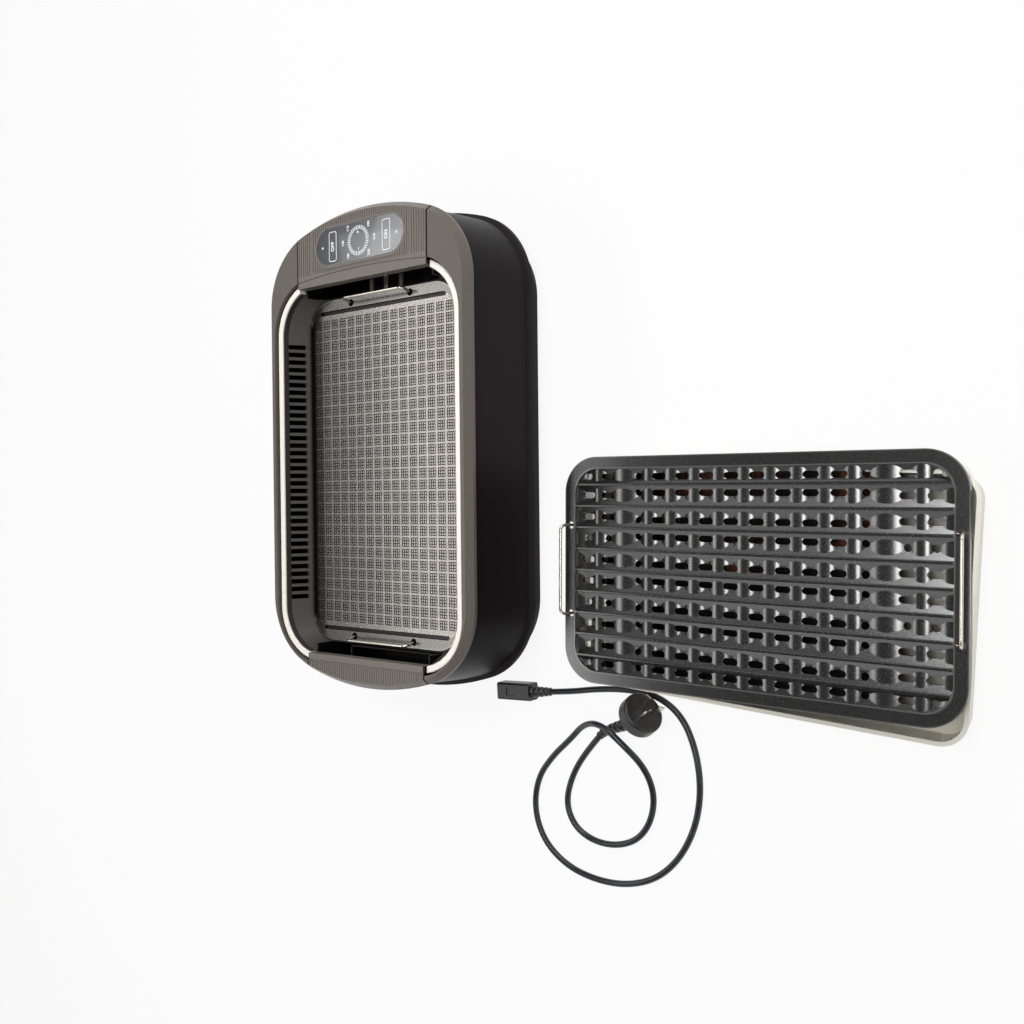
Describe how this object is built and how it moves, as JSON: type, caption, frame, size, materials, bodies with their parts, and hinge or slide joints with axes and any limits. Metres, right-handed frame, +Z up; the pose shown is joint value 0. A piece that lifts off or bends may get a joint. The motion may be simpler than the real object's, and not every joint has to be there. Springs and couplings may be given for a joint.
{
  "type": "indoor electric grill",
  "caption": "Smokeless indoor electric grill with a touch control panel, a lift-out griddle plate, a spare slotted plate on its drip tray, and a detachable mains lead.",
  "frame": {"origin": "centre of the grill's footprint on the table, under its feet", "axes": "+X along the grill towards its control panel, -Y towards the cook, +Z up"},
  "size_m": [0.7336, 0.7572, 0.1319],
  "materials": {
    "rim_plastic": "fine satin moulded plastic with a faint metallic grey",
    "cream_trim": "cream satin enamel",
    "touch_panel": "glossy dark grey touch panel",
    "circuit_board": "solder-masked board",
    "casing_black": "smooth near-black casing, soft gloss",
    "base_plastic": "matte dark grey moulding",
    "rubber": "matte black rubber",
    "bright_steel": "bright polished stainless wire",
    "liner_coating": "satin grey coating, lightly speckled",
    "end_panel_black": "glossy black heat-resistant plastic",
    "heater_steel": "dull heater sheath",
    "ceramic": "matte off-white ceramic",
    "plate_coating": "dark speckled non-stick coating on cast aluminium",
    "tray_steel": "shiny pressed steel",
    "motor_can": "plated motor can",
    "fan_plastic": "matte black moulding",
    "pin_metal": "plated pins",
    "cord_jacket": "soft black cord jacket and moulded ends"
  },
  "bodies": {
    "root": {"bezel_front": "rim_plastic", "bezel_back": "rim_plastic", "control_housing": "rim_plastic", "control_cover": "rim_plastic", "left_end_housing": "rim_plastic", "trim_front": "cream_trim", "trim_back": "cream_trim", "control_glass": "touch_panel", "touch_board": "circuit_board", "power_board": "circuit_board", "board_posts": "base_plastic", "outer_shell": "casing_black", "base_ring": "base_plastic", "bottom_pan": "base_plastic", "rubber_feet": "rubber", "base_screws": "bright_steel", "inner_liner": "liner_coating", "lower_well": "liner_coating", "right_inner_panel": "end_panel_black", "left_inner_panel": "end_panel_black", "heating_element": "heater_steel", "element_supports": "heater_steel", "terminal_block": "ceramic", "thermostat_probe": "bright_steel", "plate_spring_clip": "bright_steel", "fan_motor": "motor_can", "fan_shroud": "fan_plastic", "power_inlet": "base_plastic", "inlet_pins": "pin_metal", "power_cord": "cord_jacket", "plug_body": "cord_jacket", "plug_pins": "pin_metal", "plug_boot": "cord_jacket", "cord_connector": "cord_jacket", "connector_boot": "cord_jacket"},
    "griddle": {"griddle_plate": "plate_coating"},
    "griddle_bail_left": {"griddle_handle_left": "bright_steel"},
    "griddle_bail_right": {"griddle_handle_right": "bright_steel"},
    "drip_tray": {"drip_tray": "tray_steel"},
    "grill_plate": {"grill_plate": "plate_coating"},
    "grill_bail_near": {"grill_handle_near": "bright_steel"},
    "grill_bail_far": {"grill_handle_far": "bright_steel"},
    "fan": {"fan_shaft": "bright_steel", "fan_rotor": "fan_plastic"}
  },
  "joints": [
    {"name": "griddle_lift", "type": "slide", "parent": "root", "child": "griddle", "axis": [0, 0, 1], "range_m": [0, 0.12]},
    {"name": "griddle_left_handle_fold", "type": "hinge", "parent": "griddle", "child": "griddle_bail_left", "pos_m": [-0.2108, 0, 0.098], "axis": [0, 1, 0], "range_deg": [0, 45]},
    {"name": "griddle_right_handle_fold", "type": "hinge", "parent": "griddle", "child": "griddle_bail_right", "pos_m": [0.1672, 0, 0.098], "axis": [0, -1, 0], "range_deg": [0, 45]},
    {"name": "drip_tray_lift", "type": "slide", "parent": "root", "child": "drip_tray", "axis": [0, 0, 1], "range_m": [0, 0.05]},
    {"name": "grill_plate_lift", "type": "slide", "parent": "drip_tray", "child": "grill_plate", "axis": [0, 0, 1], "range_m": [0, 0.06]},
    {"name": "grill_near_handle_fold", "type": "hinge", "parent": "grill_plate", "child": "grill_bail_near", "pos_m": [-0.13534, -0.58668, 0.0359], "axis": [-0.9999, 0.014, 0], "range_deg": [0, 45]},
    {"name": "grill_far_handle_fold", "type": "hinge", "parent": "grill_plate", "child": "grill_bail_far", "pos_m": [-0.13006, -0.20872, 0.0359], "axis": [0.9999, -0.014, 0], "range_deg": [0, 45]},
    {"name": "fan_spin", "type": "hinge", "parent": "root", "child": "fan", "pos_m": [-0.0225, 0, 0.024], "axis": [0, 0, 1], "continuous": true}
  ]
}
